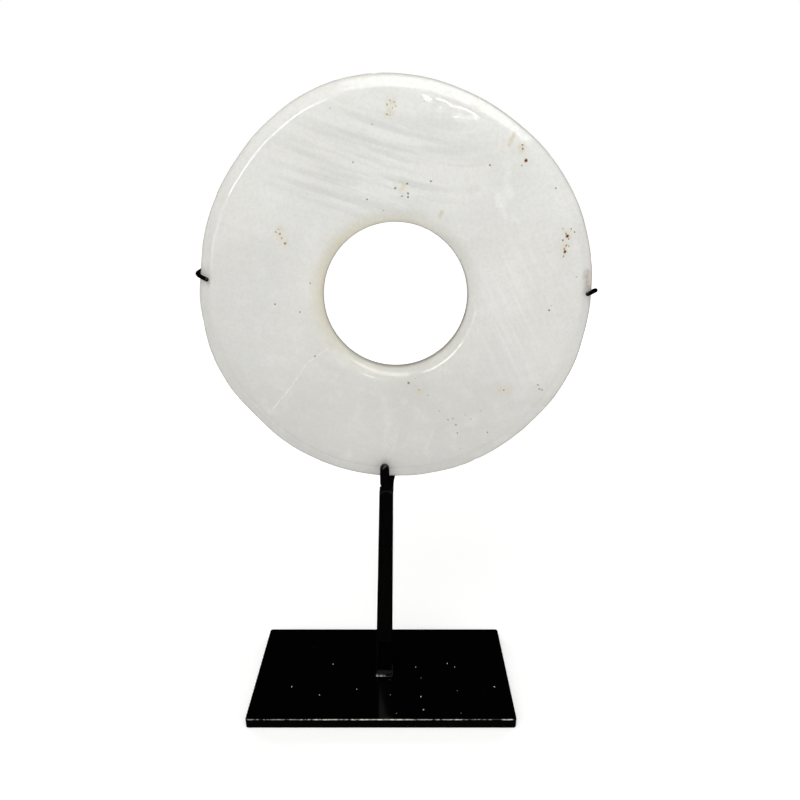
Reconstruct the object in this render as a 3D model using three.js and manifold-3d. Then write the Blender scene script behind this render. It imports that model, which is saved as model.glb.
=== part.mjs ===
// A ring-shaped onyx disc, ground and polished by hand, held upright on a black steel stand.
// Millimetres, +Z up, the front of the disc faces -Y. The origin is the centre of the base's underside.
import * as THREE from "three";
import { mergeVertices } from "three/addons/utils/BufferGeometryUtils.js";
import Module from "manifold-3d";

const wasm = await Module();
wasm.setup();

// Clearance left between pieces that touch.
const fitGap = 0.3;

// Base plate: a steel flat with rounded corners and eased edges.
const baseWidth = 246;
const baseDepth = 118;
const baseThickness = 10;
const baseCornerRadius = 2.5;
const baseEdgeEase = 0.8;

// Post: a square bar, thicker at the foot, that leans a little to the right. X is from the middle.
const postHeight = 201.5;
const postFootWidth = 16;
const postTopWidth = 12.1;
const postEdgeRadius = 1;
const postFootX = 1.6;
const postTopX = 5.3;

// Disc: a flat ring, a little taller than wide. X is from the base's middle.
const discWidth = 303.2;
const discHeight = 312;
const discThickness = 25;
const discX = 14.5;

// Hole: drilled a little off the disc's centre, its wall rounded over but for a narrow flat.
const holeDiameter = 112.7;
const holeWallFlat = 1;
const holeOffsetX = -0.7;
const holeOffsetZ = -0.8;

// The worn edge of the disc: a long bevel off each face, its angle in degrees, then a round rim.
const bevelWidth = 9.5;
const bevelAngle = 28;
const arrisRadius = 2.4;
const rimRadius = 5;

// High and low spots left on the rim by hand grinding: direction and spread in degrees, height in mm.
const rimSpots = [
  { at: 61, spread: 27, height: -3.5 },
  { at: 109, spread: 16, height: 1.2 },
  { at: 138, spread: 7, height: -0.6 },
  { at: 172, spread: 7, height: -0.9 },
  { at: 203, spread: 25.5, height: 3.9 },
  { at: 218.5, spread: 10.3, height: -1.9 },
  { at: 267, spread: 16, height: -1 },
  { at: 334, spread: 15, height: 1.9 },
];

// Cradle: a round bar bent to a U under the rim, short in front and longer behind.
const cradleBar = 8;
const cradleBend = 8;
const cradleOffset = -0.9;
const prongRise = 16.5;
const rearLegRise = 34;

// Saddle: the block under the cradle's bar. Its right side flares up to a horn under the rim.
const saddleHeight = 7.9;
const saddleDepth = 9;
const saddleLeftReach = 3.6;
const saddleRightReach = 7.2;
const saddleHornReach = 9;

// Claw arms: thin round bar from the cradle's rear leg, behind the disc, round its rim.
// Each claw: its side, direction in degrees, slack off the rim, drop behind, reach and tip's drop.
const clawBar = 3.3;
const armBend = 14;
const clawHeelBend = 5;
const clawBend = 11;
const clawElbowInset = 5.5;
const armRootRise = 6;
const armWeldLength = 14;
const leftClaw = { side: -1, rimAngle: 173.3, slack: 0.2, backDrop: -1.2, reach: 7.4, tipDrop: 3.3 };
const rightClaw = { side: 1, rimAngle: 2.3, slack: 1.2, backDrop: 7, reach: 5.6, tipDrop: 2.6 };

// Mesh fineness.
const ringSteps = 96;
const roundSteps = 4;
const lipSteps = 6;
const easeSteps = 2;
const bendSteps = 7;
const domeSteps = 4;
const cradleSides = 16;
const clawSides = 12;

// Sizes worked out from the ones above.
const discRadius = discWidth / 2;
const holeRadius = holeDiameter / 2;
const halfThickness = discThickness / 2;
const holeEdgeRadius = (discThickness - holeWallFlat) / 2;
const postFootZ = baseThickness + fitGap;
const postTopZ = postFootZ + postHeight;
const saddleFootZ = postTopZ + fitGap;
const cradleX = postTopX + cradleOffset;
const cradleY = halfThickness + fitGap + cradleBar / 2;
const cradleZ = saddleFootZ + saddleHeight + cradleBar / 2;
const cradleSeatZ = cradleZ + cradleBar / 2 + fitGap;
const clawY = halfThickness + fitGap + clawBar / 2;
const discZ = cradleSeatZ + rimDepthAt(cradleX - discX);

// Distance from the disc's centre to its rim, in a direction measured from +X towards +Z.
function rimRadiusAt(angle) {
  const across = Math.cos(angle) / (discWidth / 2);
  const up = Math.sin(angle) / (discHeight / 2);
  let radius = 1 / Math.hypot(across, up);
  for (const spot of rimSpots) {
    const turn = angle - THREE.MathUtils.degToRad(spot.at);
    const away = THREE.MathUtils.radToDeg(Math.atan2(Math.sin(turn), Math.cos(turn)));
    radius += spot.height * Math.exp(-((away / spot.spread) ** 2));
  }
  return radius;
}

// How far the rim's underside lies below the disc's centre, at a distance to the side of it.
function rimDepthAt(offset) {
  const angle = Math.asin(offset / (discHeight / 2)) - Math.PI / 2;
  return Math.sqrt(rimRadiusAt(angle) ** 2 - offset ** 2);
}

// Points on a circular arc of a profile, both ends included.
function arc(centreX, centreY, radius, from, to, steps) {
  const points = [];
  for (let i = 0; i <= steps; i += 1) {
    const angle = from + ((to - from) * i) / steps;
    const x = centreX + radius * Math.cos(angle);
    const y = centreY + radius * Math.sin(angle);
    points.push(new THREE.Vector2(x, y));
  }
  return points;
}

// Half of the ring's section, from the hole's wall to the middle of the rim, on the +y side.
function halfSection() {
  const slope = THREE.MathUtils.degToRad(bevelAngle);
  const arrisReach = arrisRadius * Math.tan(slope / 2);
  const bevelStart = discRadius - bevelWidth;
  const rimNormal = Math.PI / 2 - slope;
  const rimCentreX = discRadius - rimRadius;
  const toBevel = (rimCentreX - bevelStart) * Math.sin(slope);
  const rimCentreY = halfThickness - (toBevel + rimRadius) / Math.cos(slope);
  const hole = arc(
    holeRadius + holeEdgeRadius,
    halfThickness - holeEdgeRadius,
    holeEdgeRadius,
    Math.PI,
    Math.PI / 2,
    lipSteps,
  );
  const arris = arc(
    bevelStart - arrisReach,
    halfThickness - arrisRadius,
    arrisRadius,
    Math.PI / 2,
    rimNormal,
    easeSteps,
  );
  const rim = arc(rimCentreX, rimCentreY, rimRadius, rimNormal, 0, roundSteps);
  return [...hole, ...arris, ...rim];
}

// The disc: its section turned about Y, then drawn in or out from the hole to the hand-ground rim.
function makeDisc() {
  const half = halfSection();
  const other = half.map((point) => new THREE.Vector2(point.x, -point.y)).reverse();
  const section = [...half, ...other, half[0]];
  const geometry = new THREE.LatheGeometry(section.reverse(), ringSteps);
  const position = geometry.attributes.position;
  for (let i = 0; i < position.count; i += 1) {
    const x = position.getX(i);
    const z = position.getZ(i);
    const radius = Math.hypot(x, z);
    const angle = Math.atan2(z, x);
    const share = (radius - holeRadius) / (discRadius - holeRadius);
    const ground = radius + share * (rimRadiusAt(angle) - discRadius);
    position.setX(i, (x * ground) / radius + (1 - share) * holeOffsetX);
    position.setZ(i, (z * ground) / radius + (1 - share) * holeOffsetZ);
  }
  return geometry;
}

// A rectangle with round corners, centred on the origin.
function roundedRectangle(width, depth, radius) {
  const x = width / 2 - radius;
  const y = depth / 2 - radius;
  const shape = new THREE.Shape();
  shape.absarc(x, y, radius, 0, Math.PI / 2);
  shape.absarc(-x, y, radius, Math.PI / 2, Math.PI);
  shape.absarc(-x, -y, radius, Math.PI, Math.PI * 1.5);
  shape.absarc(x, -y, radius, Math.PI * 1.5, Math.PI * 2);
  shape.closePath();
  return shape;
}

function makeBase() {
  const width = baseWidth - 2 * baseEdgeEase;
  const depth = baseDepth - 2 * baseEdgeEase;
  const outline = roundedRectangle(width, depth, baseCornerRadius - baseEdgeEase);
  const geometry = new THREE.ExtrudeGeometry(outline, {
    depth: baseThickness - 2 * baseEdgeEase,
    bevelThickness: baseEdgeEase,
    bevelSize: baseEdgeEase,
    bevelSegments: easeSteps,
    curveSegments: roundSteps,
  });
  return geometry.translate(0, 0, baseEdgeEase);
}

// The post: a square bar whose section shrinks and shifts evenly from foot to top.
function makePost() {
  const section = roundedRectangle(postFootWidth, postFootWidth, postEdgeRadius);
  const geometry = new THREE.ExtrudeGeometry(section, {
    depth: postHeight,
    bevelEnabled: false,
    curveSegments: roundSteps,
  });
  const position = geometry.attributes.position;
  for (let i = 0; i < position.count; i += 1) {
    const share = position.getZ(i) / postHeight;
    const scale = THREE.MathUtils.lerp(1, postTopWidth / postFootWidth, share);
    const lean = THREE.MathUtils.lerp(postFootX, postTopX, share);
    position.setX(i, position.getX(i) * scale + lean);
    position.setY(i, position.getY(i) * scale);
  }
  return geometry.translate(0, 0, postFootZ);
}

// Stations along a bar that runs straight between corners and turns each corner on a smooth bend.
function bentPath(corners, bends) {
  const stations = [corners[0].clone()];
  bends.forEach((bend, i) => {
    const corner = corners[i + 1];
    const back = corners[i].clone().sub(corner).normalize();
    const on = corners[i + 2].clone().sub(corner).normalize();
    const reach = bend / Math.tan(back.angleTo(on) / 2);
    const start = corner.clone().addScaledVector(back, reach);
    const end = corner.clone().addScaledVector(on, reach);
    const turn = new THREE.QuadraticBezierCurve3(start, corner, end);
    stations.push(...turn.getPoints(bendSteps));
  });
  stations.push(corners[corners.length - 1].clone());
  return stations;
}

// A round bar along the stations, cut square at its start and domed at its end.
function makeBar(stations, radius, sides) {
  const tangents = stations.map((point, i) => {
    const before = stations[Math.max(i - 1, 0)];
    const after = stations[Math.min(i + 1, stations.length - 1)];
    return after.clone().sub(before).normalize();
  });
  const rings = stations.map((centre, i) => ({ centre, tangent: tangents[i], radius }));
  const end = rings[rings.length - 1];
  for (let i = 1; i < domeSteps; i += 1) {
    const rise = (Math.PI / 2) * (i / domeSteps);
    const centre = end.centre.clone().addScaledVector(end.tangent, radius * Math.sin(rise));
    rings.push({ centre, tangent: end.tangent, radius: radius * Math.cos(rise) });
  }
  const side = new THREE.Vector3(1, 0, 0);
  if (Math.abs(side.dot(tangents[0])) > Math.SQRT1_2) side.set(0, 1, 0);
  const points = [];
  for (const ring of rings) {
    side.addScaledVector(ring.tangent, -side.dot(ring.tangent)).normalize();
    const up = ring.tangent.clone().cross(side);
    for (let j = 0; j < sides; j += 1) {
      const angle = (Math.PI * 2 * j) / sides;
      const point = ring.centre.clone();
      point.addScaledVector(side, ring.radius * Math.cos(angle));
      point.addScaledVector(up, ring.radius * Math.sin(angle));
      points.push(point);
    }
  }
  const footIndex = points.length;
  points.push(stations[0].clone());
  const poleIndex = points.length;
  points.push(end.centre.clone().addScaledVector(end.tangent, radius));
  const index = [];
  for (let j = 0; j < sides; j += 1) {
    const next = (j + 1) % sides;
    index.push(footIndex, next, j);
    for (let i = 0; i < rings.length - 1; i += 1) {
      const low = i * sides;
      const high = low + sides;
      index.push(low + j, low + next, high + next);
      index.push(low + j, high + next, high + j);
    }
    const last = (rings.length - 1) * sides;
    index.push(last + j, last + next, poleIndex);
  }
  const geometry = new THREE.BufferGeometry().setFromPoints(points);
  geometry.setIndex(index);
  return geometry;
}

// A closed geometry as a solid that can be joined to another.
function toSolid(geometry) {
  const bare = geometry.clone();
  bare.deleteAttribute("normal");
  bare.deleteAttribute("uv");
  const merged = mergeVertices(bare);
  const vertProperties = new Float32Array(merged.attributes.position.array);
  const triVerts = new Uint32Array(merged.index.array);
  return new wasm.Manifold(new wasm.Mesh({ numProp: 3, vertProperties, triVerts }));
}

function toGeometry(solid) {
  const mesh = solid.getMesh();
  const geometry = new THREE.BufferGeometry();
  const position = new THREE.BufferAttribute(mesh.vertProperties, mesh.numProp);
  geometry.setAttribute("position", position);
  geometry.setIndex(new THREE.BufferAttribute(mesh.triVerts, 1));
  return geometry;
}

// The saddle's outline seen from the front, with the hollow side that rises to the horn.
function makeSaddle() {
  const left = cradleX - saddleLeftReach;
  const right = cradleX + saddleRightReach;
  const horn = cradleX + saddleHornReach;
  const hornZ = discZ - rimDepthAt(horn - discX) - fitGap;
  const outline = new THREE.Shape();
  outline.moveTo(left, saddleFootZ);
  outline.lineTo(right, saddleFootZ);
  outline.quadraticCurveTo(right, cradleZ, horn, hornZ);
  outline.lineTo(cradleX, cradleZ + cradleBar / 2);
  outline.lineTo(left, cradleZ);
  outline.closePath();
  const geometry = new THREE.ExtrudeGeometry(outline, {
    depth: saddleDepth,
    bevelEnabled: false,
    curveSegments: roundSteps,
  });
  return geometry.rotateX(Math.PI / 2).translate(0, saddleDepth / 2, 0);
}

// The cradle: its rear leg, the bar under the rim and the prong in front, with the saddle.
function makeCradle() {
  const prongTop = cradleSeatZ + prongRise - cradleBar / 2;
  const corners = [
    new THREE.Vector3(cradleX, cradleY, cradleSeatZ + rearLegRise),
    new THREE.Vector3(cradleX, cradleY, cradleZ),
    new THREE.Vector3(cradleX, -cradleY, cradleZ),
    new THREE.Vector3(cradleX, -cradleY, prongTop),
  ];
  const stations = bentPath(corners, [cradleBend, cradleBend]);
  const bar = toSolid(makeBar(stations, cradleBar / 2, cradleSides));
  return toGeometry(bar.add(toSolid(makeSaddle())));
}

// A point beside the disc, by its direction from the centre and its distance outside the rim.
function besideRim(degrees, outside, y) {
  const angle = THREE.MathUtils.degToRad(degrees);
  const radius = rimRadiusAt(angle) + outside;
  const x = discX + radius * Math.cos(angle);
  const z = discZ + radius * Math.sin(angle);
  return new THREE.Vector3(x, y, z);
}

// An arm: up beside the cradle's rear leg, out behind the disc, round the rim and over its face.
function makeClawArm(claw) {
  const barRadius = clawBar / 2;
  const apart = cradleBar / 2 + barRadius + fitGap;
  const rootX = cradleX + claw.side * Math.sqrt(apart ** 2 - (cradleY - clawY) ** 2);
  const rootZ = cradleZ + cradleBar / 2 + armRootRise;
  const outside = barRadius + fitGap + claw.slack;
  const elbow = besideRim(claw.rimAngle, outside, clawElbowInset - clawY);
  const behind = elbow.clone().setY(clawY);
  behind.z -= claw.backDrop;
  const tip = elbow.clone().setY(-clawY);
  tip.x -= claw.side * (outside + claw.reach);
  tip.z -= claw.tipDrop;
  const corners = [
    new THREE.Vector3(rootX, clawY, rootZ),
    new THREE.Vector3(rootX, clawY, rootZ + armWeldLength),
    behind,
    elbow,
    tip,
  ];
  const stations = bentPath(corners, [armBend, clawHeelBend, clawBend]);
  return makeBar(stations, barRadius, clawSides);
}

// One material for each piece, and the piece's name as the mesh's name.
function piece(name, geometry, color, roughness) {
  const material = new THREE.MeshStandardMaterial({ color, roughness, metalness: 0 });
  const mesh = new THREE.Mesh(geometry, material);
  mesh.name = name;
  return mesh;
}

const onyxColor = 0xdedcd4;
const onyxRoughness = 0.2;
const paintColor = 0x0c0909;
const paintRoughness = 0.35;

const disc = piece("onyx_disc", makeDisc(), onyxColor, onyxRoughness);
disc.position.set(discX, 0, discZ);

const stand = new THREE.Group();
stand.add(piece("base_plate", makeBase(), paintColor, paintRoughness));
stand.add(piece("post", makePost(), paintColor, paintRoughness));
stand.add(piece("cradle", makeCradle(), paintColor, paintRoughness));
stand.add(piece("left_claw_arm", makeClawArm(leftClaw), paintColor, paintRoughness));
stand.add(piece("right_claw_arm", makeClawArm(rightClaw), paintColor, paintRoughness));

const discOnStand = new THREE.Group();
discOnStand.add(stand, disc);

export default discOnStand;
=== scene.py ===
# An onyx disc, ground and polished by hand, held upright on a welded steel stand painted black.
# Metres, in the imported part's frame: the stand rests on z = 0 and the disc's front faces -Y.
import math

import bpy
import numpy as np
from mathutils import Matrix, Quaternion, Vector


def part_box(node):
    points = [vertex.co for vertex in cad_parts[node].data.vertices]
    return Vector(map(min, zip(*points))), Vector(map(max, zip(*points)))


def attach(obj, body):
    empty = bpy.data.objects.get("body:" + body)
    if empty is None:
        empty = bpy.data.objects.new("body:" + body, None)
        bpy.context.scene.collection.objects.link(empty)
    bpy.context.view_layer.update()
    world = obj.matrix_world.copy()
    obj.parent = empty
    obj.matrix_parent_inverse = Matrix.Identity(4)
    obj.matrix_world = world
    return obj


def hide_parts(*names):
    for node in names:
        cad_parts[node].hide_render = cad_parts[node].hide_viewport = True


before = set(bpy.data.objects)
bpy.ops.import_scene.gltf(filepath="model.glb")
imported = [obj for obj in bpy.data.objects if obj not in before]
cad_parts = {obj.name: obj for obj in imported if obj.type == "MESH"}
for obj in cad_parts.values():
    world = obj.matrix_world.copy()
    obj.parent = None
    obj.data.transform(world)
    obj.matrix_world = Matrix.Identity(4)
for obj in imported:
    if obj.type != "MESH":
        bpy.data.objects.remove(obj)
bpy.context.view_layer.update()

# The room: a white paper floor, a window in two panes at the left front, a small one far in front,
# a skylight and soft light all round. The camera looks down from a little above the disc's middle.
MM = 0.001
scene = bpy.context.scene
scene.view_settings.view_transform = "Standard"

lens = bpy.data.cameras.new("studio_camera")
lens.lens = 27.2
lens.sensor_width = 36.0
camera = bpy.data.objects.new("studio_camera", lens)
camera.location = (17.3 * MM, -475.3 * MM, 466.15 * MM)
camera_dip = math.radians(19.74)
camera.rotation_euler = (math.pi / 2 - camera_dip, 0, 0)
scene.collection.objects.link(camera)
scene.camera = camera


def linear(hex_colour):
    """A colour picked as sRGB hex, as the linear RGBA that a shader takes."""
    channels = [int(hex_colour[i:i + 2], 16) / 255 for i in (1, 3, 5)]
    return [c / 12.92 if c <= 0.04045 else ((c + 0.055) / 1.055) ** 2.4 for c in channels] + [1.0]


def add(tree, kind, inputs=(), **settings):
    """Adds one node: its settings by name, and its inputs by name or number, as values or links."""
    fresh = tree.nodes.new(kind)
    for name, value in settings.items():
        setattr(fresh, name, value)
    for socket, value in dict(inputs).items():
        if isinstance(value, bpy.types.NodeSocket):
            tree.links.new(value, fresh.inputs[socket])
        else:
            fresh.inputs[socket].default_value = value
    return fresh


def soft_box(name, place, target, width, height, watts, lean=0.0):
    """A rectangular studio light that faces its target, leans to its side and isn't seen itself."""
    lamp = bpy.data.lights.new(name, "AREA")
    lamp.shape = "RECTANGLE"
    lamp.size = width
    lamp.size_y = height
    lamp.energy = watts
    box = bpy.data.objects.new(name, lamp)
    box.location = place
    facing = (Vector(target) - Vector(place)).to_track_quat("-Z", "Y")
    box.rotation_euler = (facing @ Quaternion((0, 0, 1), math.radians(lean))).to_euler()
    box.visible_camera = False
    scene.collection.objects.link(box)
    return box


# The panes are only mirrored, and the scrims only shed light.
disc_middle = (0, 0, 0.38)
panes = [
    soft_box("window_upper_pane", (-0.855, -1.461, 1.098), disc_middle,
             width=0.26, height=0.92, watts=6.6, lean=-45),
    soft_box("window_lower_pane", (-1.265, -1.385, 0.449), disc_middle,
             width=0.16, height=0.42, watts=1.5, lean=-15),
    soft_box("skylight", (0.5, -0.9, 2.2), disc_middle, width=2.2, height=1.0, watts=19),
]
for pane in panes:
    pane.visible_diffuse = False
soft_box("window_far", (0.27, -2.5, 0.885), (0.06, 0, 0.52), width=0.26, height=0.085, watts=1.3, lean=-14)
scrims = [
    soft_box("front_scrim", (-0.6, -1.9, 2.0), disc_middle, width=2.2, height=1.6, watts=26),
    soft_box("right_scrim", (1.9, -1.0, 0.7), disc_middle, width=1.6, height=1.8, watts=5.0),
    soft_box("ceiling_scrim", (0.1, -0.3, 2.2), (0, 0, 0), width=2.2, height=1.8, watts=20),
    soft_box("back_left_scrim", (-1.5, 1.3, 0.5), disc_middle, width=0.9, height=0.9, watts=14),
    soft_box("back_right_scrim", (1.5, 1.3, 0.5), disc_middle, width=0.9, height=0.9, watts=11),
]
for scrim in scrims:
    scrim.visible_glossy = False

# The air is white to the eye. What it sheds on the object is dimmer, most of all from behind, and
# polished surfaces mirror a dark room in it.
shed_behind = 0.03
shed_in_front = 0.42
mirrored_share = 0.05
sky = bpy.data.worlds.new("studio_air")
sky.use_nodes = True
air = sky.node_tree
air.nodes.clear()
direction = add(air, "ShaderNodeTexCoord").outputs["Generated"]
parts = add(air, "ShaderNodeSeparateXYZ", {0: direction})
shed = add(air, "ShaderNodeMapRange", {
    0: parts.outputs[1], 1: 0.4, 2: -0.3, 3: shed_behind, 4: shed_in_front,
})
ray = add(air, "ShaderNodeLightPath")
mirrored = add(air, "ShaderNodeMix", {0: ray.outputs["Is Glossy Ray"], 2: 1.0, 3: mirrored_share})
shed = add(air, "ShaderNodeMath", {0: shed.outputs[0], 1: mirrored.outputs[0]}, operation="MULTIPLY")
strength = add(air, "ShaderNodeMix", {0: ray.outputs["Is Camera Ray"], 2: shed.outputs[0], 3: 1.0})
glow = add(air, "ShaderNodeBackground", {"Color": linear("#ffffff"), "Strength": strength.outputs[0]})
add(air, "ShaderNodeOutputWorld", {0: glow.outputs[0]})
scene.world = sky

floor_half = 30.0
paper_grain = 4 * MM
lit_reach = 2.0
lit_share = 0.72
unseen_glow = 0.25
floor_mesh = bpy.data.meshes.new("paper_floor")
floor_corners = [(-floor_half, -floor_half, 0), (floor_half, -floor_half, 0)]
floor_corners += [(floor_half, floor_half, 0), (-floor_half, floor_half, 0)]
floor_mesh.from_pydata(floor_corners, [], [(0, 1, 2, 3)])
paper = bpy.data.materials.new("white seamless paper")
paper.use_nodes = True
sheet = paper.node_tree
sheet_place = add(sheet, "ShaderNodeTexCoord").outputs["Object"]
grain = add(sheet, "ShaderNodeTexNoise", {"Vector": sheet_place, "Scale": 1 / paper_grain, "Detail": 3.0})
tone = add(sheet, "ShaderNodeMix", {0: grain.outputs[0], 6: linear("#efefee"), 7: linear("#f5f5f4")},
           data_type="RGBA")
# The paper glows a little, more so far away, where the studio lights no longer reach it.
outwards = add(sheet, "ShaderNodeVectorMath", {0: sheet_place}, operation="LENGTH").outputs["Value"]
squared = add(sheet, "ShaderNodeMath", {0: outwards, 1: outwards, 2: lit_reach ** 2},
              operation="MULTIPLY_ADD")
lit = add(sheet, "ShaderNodeMath", {0: lit_share * lit_reach ** 2, 1: squared.outputs[0]},
          operation="DIVIDE")
unlit = add(sheet, "ShaderNodeMath", {0: 1.0, 1: lit.outputs[0]}, operation="SUBTRACT")
seen = add(sheet, "ShaderNodeLightPath").outputs["Is Camera Ray"]
lift = add(sheet, "ShaderNodeMix", {0: seen, 2: unseen_glow, 3: unlit.outputs[0]}).outputs[0]
cover = sheet.nodes["Principled BSDF"]
sheet.links.new(tone.outputs[2], cover.inputs["Base Color"])
sheet.links.new(lift, cover.inputs["Emission Strength"])
cover.inputs["Emission Color"].default_value = linear("#ffffff")
cover.inputs["Roughness"].default_value = 0.9
cover.inputs["Specular IOR Level"].default_value = 0.0
floor_mesh.materials.append(paper)
paper_floor = bpy.data.objects.new("paper_floor", floor_mesh)
paper_floor.visible_glossy = False
scene.collection.objects.link(paper_floor)

# The base plate: one piece of 10 mm steel flat, sawn to length, its corners rounded and its edges
# eased with a file, then sprayed with black gloss enamel. The enamel has rubbed thin along the edges;
# along the front top edge its pale bare steel is also a painted highlight.
plate_low, plate_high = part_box("base_plate")
plate_middle = (plate_low + plate_high) / 2
plate_size = plate_high - plate_low
plate_corner = 2.5 * MM
plate_ease = 0.8 * MM
plate_margin = 3.0 * MM


def rounded_rectangle(width, depth, radius, steps=6, along_sides=0):
    """A rectangle with round corners about the origin, counterclockwise, its sides cut in steps."""
    corners = []
    for quarter, (x, y) in enumerate(((1, 1), (-1, 1), (-1, -1), (1, -1))):
        turn = math.pi / 2 * (quarter + np.linspace(0, 1, steps + 1))
        across = x * (width / 2 - radius) + radius * np.cos(turn)
        along = y * (depth / 2 - radius) + radius * np.sin(turn)
        corners.append(np.column_stack([across, along]))
    outline = []
    for corner, following in zip(corners, corners[1:] + corners[:1]):
        outline += [corner, np.linspace(corner[-1], following[0], along_sides + 2)[1:-1]]
    return np.concatenate(outline)


def loft(name, rings, material):
    """A closed piece through rings of points, each counterclockwise from above, listed upwards."""
    count = len(rings[0])
    faces = [list(range(count))[::-1]]
    for low in range(0, count * (len(rings) - 1), count):
        for j in range(count):
            k = (j + 1) % count
            faces.append([low + j, low + k, low + count + k, low + count + j])
    faces.append(list(range(count * (len(rings) - 1), count * len(rings))))
    mesh = bpy.data.meshes.new(name)
    mesh.from_pydata(np.concatenate(rings).tolist(), [], faces)
    mesh.polygons.foreach_set("use_smooth", [True] * len(mesh.polygons))
    mesh.materials.append(material)
    piece = bpy.data.objects.new(name, mesh)
    scene.collection.objects.link(piece)
    return piece


# Black gloss enamel on steel: near black with a breath of red-brown, a fine orange peel from the
# spray gun, hazier patches from handling, and pale grey steel where an attribute thins the paint. On
# the plate's front top edge and the foot weld's front crest that pale steel is partly rubbed paint
# and partly a painted highlight.
haze_size = 38 * MM
peel_size = 1.6 * MM
peel_depth = 0.05 * MM
break_size = 2.5 * MM
enamel = bpy.data.materials.new("black gloss enamel on steel")
enamel.use_nodes = True
coat = enamel.node_tree
place = add(coat, "ShaderNodeTexCoord").outputs["Object"]
haze = add(coat, "ShaderNodeTexNoise", {"Vector": place, "Scale": 1 / haze_size, "Detail": 4.0})
peel = add(coat, "ShaderNodeTexNoise", {"Vector": place, "Scale": 1 / peel_size, "Detail": 2.0})
breaks = add(coat, "ShaderNodeTexNoise", {"Vector": place, "Scale": 1 / break_size, "Detail": 5.0})
black = add(coat, "ShaderNodeMix", {0: haze.outputs[0], 6: linear("#010101"), 7: linear("#050303")},
            data_type="RGBA")
# Thinned paint, and on the plate's front top edge and the foot weld's front crest a painted highlight too.
rubbed = add(coat, "ShaderNodeAttribute", attribute_name="wear_and_highlight").outputs["Fac"]
edge = add(coat, "ShaderNodeMath", {0: rubbed, 1: breaks.outputs[0]}, operation="MULTIPLY")
bare = add(coat, "ShaderNodeMapRange", {0: edge.outputs[0], 1: 0.4, 2: 0.75})
colour = add(coat, "ShaderNodeMix", {0: bare.outputs[0], 6: black.outputs[2], 7: linear("#dcd8d0")},
             data_type="RGBA")
gloss = add(coat, "ShaderNodeMapRange", {0: haze.outputs[0], 1: 0.3, 2: 0.7, 3: 0.05, 4: 0.1})
dimple = add(coat, "ShaderNodeBump", {"Strength": 0.12, "Distance": peel_depth, "Height": peel.outputs[0]})
paint = coat.nodes["Principled BSDF"]
coat.links.new(colour.outputs[2], paint.inputs["Base Color"])
coat.links.new(gloss.outputs[0], paint.inputs["Roughness"])
coat.links.new(dimple.outputs[0], paint.inputs["Normal"])

plate_rings = []
quarter_turn = np.linspace(0, math.pi / 2, 5)
edge_in = list(plate_ease * (1 - np.sin(quarter_turn)))
edge_up = list(plate_ease * (1 - np.cos(quarter_turn)))
insets = [plate_margin] + edge_in + edge_in[::-1] + [plate_margin]
heights = [0.0] + edge_up + [plate_size.z - up for up in edge_up[::-1]] + [plate_size.z]
for inset, height in zip(insets, heights):
    ring = rounded_rectangle(plate_size.x - 2 * inset, plate_size.y - 2 * inset,
                             max(plate_corner - inset, 0.2 * MM), along_sides=120)
    ring = ring + [plate_middle.x, plate_middle.y]
    plate_rings.append(np.column_stack([ring, np.full(len(ring), plate_low.z + height)]))
base_plate = loft("steel_base_plate", plate_rings, enamel)
corner_count = len(plate_rings[0])
ring_x = np.concatenate(plate_rings)[:, 0] / MM
ring_y = np.concatenate(plate_rings)[:, 1]
# Along the front top edge these amounts also paint the edge's highlight, strongest from x = -60 to 34 mm and
# at a spot near the right corner: painted highlight. The back half of the edge is only rubbed.
wear_and_highlight_x = [-123, -108, -100, -66, -60, 34, 40, 100, 109, 112, 117, 120]
front_wear_and_highlight = [0.95, 1.0, 0.95, 1.0, 1.3, 1.3, 1.0, 0.9, 0.7, 1.7, 1.7, 0.7]
back_wear = 0.75
first_edge_ring = len(plate_rings) - 5
last_edge_ring = len(plate_rings) - 3
wear_and_highlight_here = np.where(ring_y < plate_middle.y, np.interp(ring_x, wear_and_highlight_x, front_wear_and_highlight), back_wear)
wear_and_highlight_here[:corner_count * first_edge_ring] = 0
wear_and_highlight_here[corner_count * (last_edge_ring + 1):] = 0
base_plate.data.attributes.new("wear_and_highlight", "FLOAT", "POINT").data.foreach_set("value", wear_and_highlight_here.astype(np.float32))
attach(base_plate, "root")
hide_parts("base_plate")

# Dust on the plate: pale flecks of lint and plaster that have stuck to the enamel, most of them
# towards the front. Each is a crumpled flake about 1 mm wide lying on the paint.
flecks = [(-50, 8), (33, 4), (65, 9), (72, 4), (-87, -21), (-59, -31), (-24, -24), (108, -21)]
flecks += [(37, -33), (39, -48)]
crumbs = [(14, -52), (73, -52), (38, -10), (8, -31), (72, -26)]
fleck_mesh = bpy.data.meshes.new("dust_flecks")
fleck_mesh.from_pydata([(x * MM, y * MM, plate_high.z) for x, y in flecks + crumbs], [], [])
flake_radius = 0.62 * MM
flake_ruffle = 0.9 * MM
ruffle_size = 0.5 * MM
dust_draw = 4
fleck_sizes = [1.0] * len(flecks) + [0.5] * len(crumbs)
fleck_mesh.attributes.new("fleck_size", "FLOAT", "POINT").data.foreach_set("value", fleck_sizes)
dust_seed = bpy.data.objects.new("dust_places", fleck_mesh)
scene.collection.objects.link(dust_seed)

# Plaster dust: off-white and chalky, mottled where it has picked up dirt.
crumb_size = 0.8 * MM
lint = bpy.data.materials.new("pale plaster dust")
lint.use_nodes = True
crumb = lint.node_tree
crumb_place = add(crumb, "ShaderNodeTexCoord").outputs["Object"]
crumb_noise = add(crumb, "ShaderNodeTexNoise", {"Vector": crumb_place, "Scale": 1 / crumb_size})
crumb_tone = add(crumb, "ShaderNodeMix", {
    0: crumb_noise.outputs[0], 6: linear("#c2bcb2"), 7: linear("#f4f1ea"),
}, data_type="RGBA")
crumb.links.new(crumb_tone.outputs[2], crumb.nodes["Principled BSDF"].inputs["Base Color"])
crumb.nodes["Principled BSDF"].inputs["Roughness"].default_value = 0.95


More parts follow.
